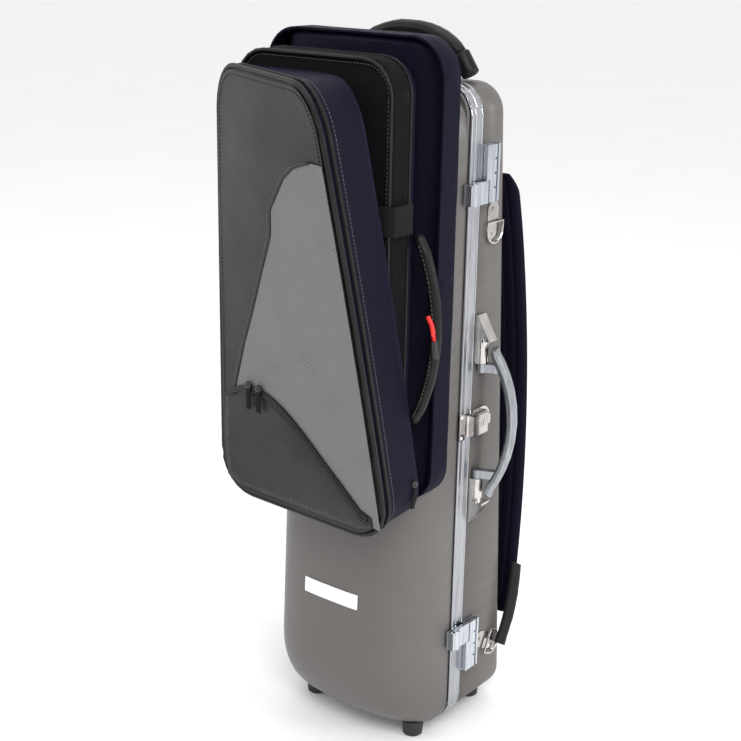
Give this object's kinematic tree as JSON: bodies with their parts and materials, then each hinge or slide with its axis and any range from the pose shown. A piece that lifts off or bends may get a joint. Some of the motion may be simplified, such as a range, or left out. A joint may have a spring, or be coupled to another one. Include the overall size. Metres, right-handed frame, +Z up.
{
  "type": "bass clarinet case",
  "caption": "Upright hard case for a bass clarinet with hinged lid, toggle latches, lock, handles, backpack straps and a zipped bag on its lid.",
  "frame": {"origin": "centre of the part's box at the underside of its feet", "axes": "+Z up along the case's height, -Y out of the lid and its bag, +X out of the side with the latches"},
  "size_m": [0.2764, 0.3768, 0.8125],
  "materials": {
    "aluminium": "satin extrusion",
    "black_leather": "satin black",
    "chrome": "bright plated",
    "foam": "plush lining over foam",
    "grey_leather": "satin dark grey",
    "handle_silver": "satin silver",
    "label": "satin white",
    "mesh_fabric": "black mesh",
    "navy_fabric": "dark navy nylon",
    "rubber": "matt black",
    "shell": "satin grained moulded shell",
    "zip": "black webbing and tape"
  },
  "bodies": {
    "lid": {"front_shell": "shell", "lid_rim": "aluminium", "shell_gasket": "rubber", "lid_foam": "foam", "front_foot_right": "rubber", "front_foot_left": "rubber", "hinge_leaf_lid": "aluminium", "upper_latch_keeper": "aluminium", "lower_latch_keeper": "aluminium", "lock_strike_plate": "chrome", "label_plate": "label", "carrier_panel": "navy_fabric", "briefcase_front": "mesh_fabric", "briefcase_back": "navy_fabric", "briefcase_zip": "zip", "briefcase_piping": "black_leather", "briefcase_handle": "black_leather"},
    "base": {"rear_shell": "shell", "base_rim": "aluminium", "rim_seal": "rubber", "base_foam": "foam", "rear_foot_right": "rubber", "rear_foot_left": "rubber", "hinge_leaf_base": "aluminium", "hinge_pin": "chrome", "upper_latch_plate": "chrome", "lower_latch_plate": "chrome", "lock_body": "chrome", "side_handle_pin_upper": "chrome", "side_handle_pin_lower": "chrome", "handle_bracket_upper": "chrome", "handle_bracket_lower": "chrome", "top_handle_sleeve_left": "black_leather", "top_handle_sleeve_right": "black_leather", "top_handle_grip": "black_leather", "ring_plate_upper_right": "chrome", "ring_plate_lower_right": "chrome", "ring_plate_lower_left": "chrome", "backpack_strap_right": "navy_fabric", "strap_webbing_right": "zip", "backpack_strap_left": "navy_fabric", "strap_webbing_left": "zip", "strap_anchor_plate": "black_leather"},
    "upper_lever": {"upper_latch_lever": "chrome"},
    "upper_hook": {"upper_latch_hook": "chrome"},
    "lower_lever": {"lower_latch_lever": "chrome"},
    "lower_hook": {"lower_latch_hook": "chrome"},
    "hasp": {"lock_hasp": "chrome"},
    "lock_plug": {"lock_plug": "chrome"},
    "lock_slide": {"lock_slide": "chrome"},
    "side_handle": {"side_handle_grip": "handle_silver"},
    "cover": {"cover_panel": "grey_leather", "pocket_panel": "grey_leather", "cover_piping": "black_leather"},
    "pocket_pull_left": {"pocket_pull_left": "zip"},
    "pocket_pull_right": {"pocket_pull_right": "zip"},
    "corner_pull": {"corner_pull": "zip"},
    "ring_upper_right": {"d_ring_upper_right": "chrome"},
    "ring_lower_right": {"d_ring_lower_right": "chrome"},
    "ring_lower_left": {"d_ring_lower_left": "chrome"}
  },
  "joints": [
    {"name": "lid_hinge", "type": "hinge", "parent": "base", "child": "lid", "pos_m": [-0.12433, 0.05957, 0.383], "axis": [0, 0, -1], "range_deg": [0, 110]},
    {"name": "upper_lever_pivot", "type": "hinge", "parent": "base", "child": "upper_lever", "pos_m": [0.09867, 0.08497, 0.662], "axis": [0, 0, 1], "range_deg": [0, 90]},
    {"name": "upper_hook_pivot", "type": "hinge", "parent": "upper_lever", "child": "upper_hook", "pos_m": [0.09867, 0.07097, 0.643], "axis": [0, 0, 1], "range_deg": [0, 45]},
    {"name": "lower_lever_pivot", "type": "hinge", "parent": "base", "child": "lower_lever", "pos_m": [0.09867, 0.08497, 0.108], "axis": [0, 0, 1], "range_deg": [0, 90]},
    {"name": "lower_hook_pivot", "type": "hinge", "parent": "lower_lever", "child": "lower_hook", "pos_m": [0.09867, 0.07097, 0.127], "axis": [0, 0, 1], "range_deg": [0, 45]},
    {"name": "hasp_pivot", "type": "hinge", "parent": "lid", "child": "hasp", "pos_m": [0.09507, 0.05977, 0.384], "axis": [0, 0, -1], "range_deg": [0, 70]},
    {"name": "lock_slide_travel", "type": "slide", "parent": "base", "child": "lock_slide", "axis": [0, 1, 0], "range_m": [0, 0.005]},
    {"name": "lock_plug_turn", "type": "hinge", "parent": "base", "child": "lock_plug", "pos_m": [0.09217, 0.07877, 0.384], "axis": [1, 0, 0], "range_deg": [0, 90]},
    {"name": "side_handle_swing", "type": "hinge", "parent": "base", "child": "side_handle", "pos_m": [0.09797, 0.07877, 0.385], "axis": [0, 0, 1], "range_deg": [-75, 30]},
    {"name": "ring_upper_right_swing", "type": "hinge", "parent": "base", "child": "ring_upper_right", "pos_m": [0.09577, 0.09577, 0.607], "axis": [0, -1, 0], "range_deg": [0, 95]},
    {"name": "ring_lower_right_swing", "type": "hinge", "parent": "base", "child": "ring_lower_right", "pos_m": [0.09577, 0.12077, 0.093], "axis": [0, -0.4695, -0.8829], "range_deg": [0, 3]},
    {"name": "ring_lower_left_swing", "type": "hinge", "parent": "base", "child": "ring_lower_left", "pos_m": [-0.12483, 0.12077, 0.093], "axis": [0, 0.4695, 0.8829], "range_deg": [0, 3]},
    {"name": "cover_flap", "type": "hinge", "parent": "lid", "child": "cover", "pos_m": [-0.13553, -0.01523, 0.535], "axis": [0, 0, -1], "range_deg": [0, 70]},
    {"name": "pocket_pull_left_swing", "type": "hinge", "parent": "cover", "child": "pocket_pull_left", "pos_m": [-0.07225, -0.11223, 0.43387], "axis": [-1, 0, 0], "range_deg": [0, 140]},
    {"name": "pocket_pull_right_swing", "type": "hinge", "parent": "cover", "child": "pocket_pull_right", "pos_m": [-0.05446, -0.11599, 0.4345], "axis": [-1, 0, 0], "range_deg": [0, 140]},
    {"name": "corner_pull_swing", "type": "hinge", "parent": "cover", "child": "corner_pull", "pos_m": [0.10055, -0.04091, 0.34422], "axis": [0, -0.9701, 0.2425], "range_deg": [0, 45]}
  ]
}
